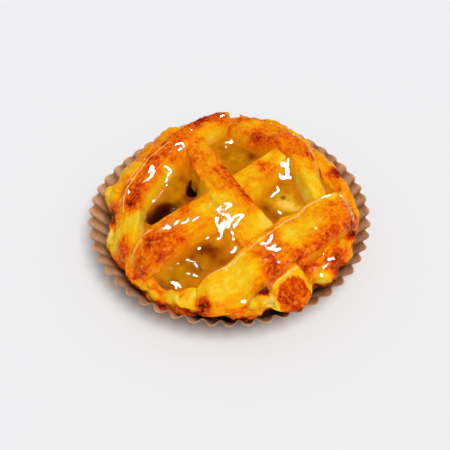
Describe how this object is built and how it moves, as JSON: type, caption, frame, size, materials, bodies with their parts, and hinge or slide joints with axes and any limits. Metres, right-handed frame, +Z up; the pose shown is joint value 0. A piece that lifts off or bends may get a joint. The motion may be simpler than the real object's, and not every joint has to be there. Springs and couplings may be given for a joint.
{
  "type": "apple tartlet",
  "caption": "Round apple tartlet: shortcrust shell, jellied apple filling and draped, glazed pastry strips, in a fluted paper case.",
  "frame": {"origin": "middle of the paper case's flat underside, where it rests", "axes": "+Z up out of the tartlet; -Y towards the side where the strip that lies over the others comes down to the rim; +X to its right"},
  "size_m": [0.1199, 0.12, 0.0347],
  "materials": {
    "paper": "kraft brown, matt, with grease stains",
    "crust": "baked shortcrust, crumbly, partly glazed",
    "apple": "cooked apple in clear jelly, wet",
    "glazed_pastry": "baked pastry under a clear wet glaze"
  },
  "bodies": {
    "root": {"paper_case": "paper", "pastry_shell": "crust", "apple_filling": "apple", "strip_right": "glazed_pastry", "strip_middle": "glazed_pastry", "strip_centre": "glazed_pastry", "strip_left": "glazed_pastry", "strip_front": "glazed_pastry"}
  },
  "joints": []
}
